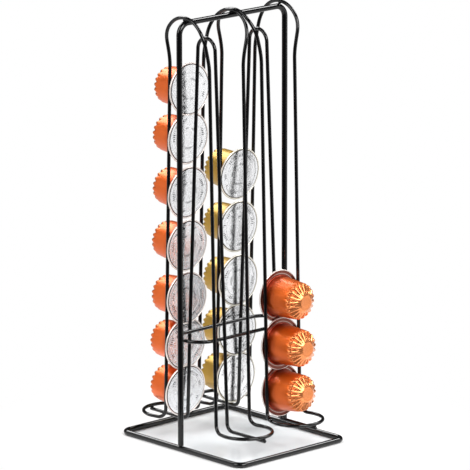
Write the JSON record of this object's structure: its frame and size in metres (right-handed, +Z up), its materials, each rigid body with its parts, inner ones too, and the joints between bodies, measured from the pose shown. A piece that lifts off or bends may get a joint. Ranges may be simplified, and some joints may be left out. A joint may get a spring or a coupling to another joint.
{
  "type": "coffee capsule dispenser",
  "caption": "Free-standing wire tower for coffee capsules: a hoop on a base ring carries arched guides whose channels hold stacks of foil-lidded capsules.",
  "frame": {"origin": "on the table, under the middle of the base ring", "axes": "+Z up; X runs along the hoop from its left leg in the picture to its right leg; the channels face +Y and -Y"},
  "size_m": [0.1024, 0.1234, 0.3045],
  "materials": {
    "black_wire": "glossy black enamel over bent steel wire",
    "orange_shell": "bright anodised orange, drawn aluminium",
    "gold_shell": "bright anodised gold, drawn aluminium",
    "foil_lid": "embossed silver foil with a light crinkle"
  },
  "bodies": {
    "frame": {"base_ring": "black_wire", "hoop": "black_wire", "left_guide_loop": "black_wire", "right_guide_loop": "black_wire", "left_inner_guide": "black_wire", "right_inner_guide": "black_wire", "spreader_ring": "black_wire"},
    "left_capsule_1": {"left_capsule_1_shell": "orange_shell", "left_capsule_1_lid": "foil_lid"},
    "left_capsule_2": {"left_capsule_2_shell": "orange_shell", "left_capsule_2_lid": "foil_lid"},
    "left_capsule_3": {"left_capsule_3_shell": "orange_shell", "left_capsule_3_lid": "foil_lid"},
    "left_capsule_4": {"left_capsule_4_shell": "orange_shell", "left_capsule_4_lid": "foil_lid"},
    "left_capsule_5": {"left_capsule_5_shell": "orange_shell", "left_capsule_5_lid": "foil_lid"},
    "left_capsule_6": {"left_capsule_6_shell": "orange_shell", "left_capsule_6_lid": "foil_lid"},
    "left_capsule_7": {"left_capsule_7_shell": "orange_shell", "left_capsule_7_lid": "foil_lid"},
    "back_capsule_1": {"back_capsule_1_shell": "gold_shell", "back_capsule_1_lid": "foil_lid"},
    "back_capsule_2": {"back_capsule_2_shell": "gold_shell", "back_capsule_2_lid": "foil_lid"},
    "back_capsule_3": {"back_capsule_3_shell": "gold_shell", "back_capsule_3_lid": "foil_lid"},
    "back_capsule_4": {"back_capsule_4_shell": "gold_shell", "back_capsule_4_lid": "foil_lid"},
    "back_capsule_5": {"back_capsule_5_shell": "gold_shell", "back_capsule_5_lid": "foil_lid"},
    "right_capsule_1": {"right_capsule_1_shell": "orange_shell", "right_capsule_1_lid": "foil_lid"},
    "right_capsule_2": {"right_capsule_2_shell": "orange_shell", "right_capsule_2_lid": "foil_lid"},
    "right_capsule_3": {"right_capsule_3_shell": "orange_shell", "right_capsule_3_lid": "foil_lid"}
  },
  "joints": [
    {"name": "left_capsule_1_slide", "type": "slide", "parent": "frame", "child": "left_capsule_1", "axis": [0, -0.0239, 0.9997], "range_m": [0, 0.004]},
    {"name": "left_capsule_2_slide", "type": "slide", "parent": "left_capsule_1", "child": "left_capsule_2", "axis": [0, -0.0239, 0.9997], "range_m": [0, 0.004]},
    {"name": "left_capsule_3_slide", "type": "slide", "parent": "left_capsule_2", "child": "left_capsule_3", "axis": [0, -0.0239, 0.9997], "range_m": [0, 0.004]},
    {"name": "left_capsule_4_slide", "type": "slide", "parent": "left_capsule_3", "child": "left_capsule_4", "axis": [0, -0.0239, 0.9997], "range_m": [0, 0.004]},
    {"name": "left_capsule_5_slide", "type": "slide", "parent": "left_capsule_4", "child": "left_capsule_5", "axis": [0, -0.0239, 0.9997], "range_m": [0, 0.004]},
    {"name": "left_capsule_6_slide", "type": "slide", "parent": "left_capsule_5", "child": "left_capsule_6", "axis": [0, -0.0239, 0.9997], "range_m": [0, 0.004]},
    {"name": "left_capsule_7_slide", "type": "slide", "parent": "left_capsule_6", "child": "left_capsule_7", "axis": [0, -0.0239, 0.9997], "range_m": [0, 0.08]},
    {"name": "back_capsule_1_slide", "type": "slide", "parent": "frame", "child": "back_capsule_1", "axis": [0, -0.0239, 0.9997], "range_m": [0, 0.0235]},
    {"name": "back_capsule_2_slide", "type": "slide", "parent": "back_capsule_1", "child": "back_capsule_2", "axis": [0, -0.0239, 0.9997], "range_m": [0, 0.0235]},
    {"name": "back_capsule_3_slide", "type": "slide", "parent": "back_capsule_2", "child": "back_capsule_3", "axis": [0, -0.0239, 0.9997], "range_m": [0, 0.0235]},
    {"name": "back_capsule_4_slide", "type": "slide", "parent": "back_capsule_3", "child": "back_capsule_4", "axis": [0, -0.0239, 0.9997], "range_m": [0, 0.0235]},
    {"name": "back_capsule_5_slide", "type": "slide", "parent": "back_capsule_4", "child": "back_capsule_5", "axis": [0, -0.0239, 0.9997], "range_m": [0, 0.15]},
    {"name": "right_capsule_1_slide", "type": "slide", "parent": "frame", "child": "right_capsule_1", "axis": [0, 0.0239, 0.9997], "range_m": [0, 0.085]},
    {"name": "right_capsule_2_slide", "type": "slide", "parent": "right_capsule_1", "child": "right_capsule_2", "axis": [0, 0.0239, 0.9997], "range_m": [0, 0.085]},
    {"name": "right_capsule_3_slide", "type": "slide", "parent": "right_capsule_2", "child": "right_capsule_3", "axis": [0, 0.0239, 0.9997], "range_m": [0, 0.226]}
  ]
}
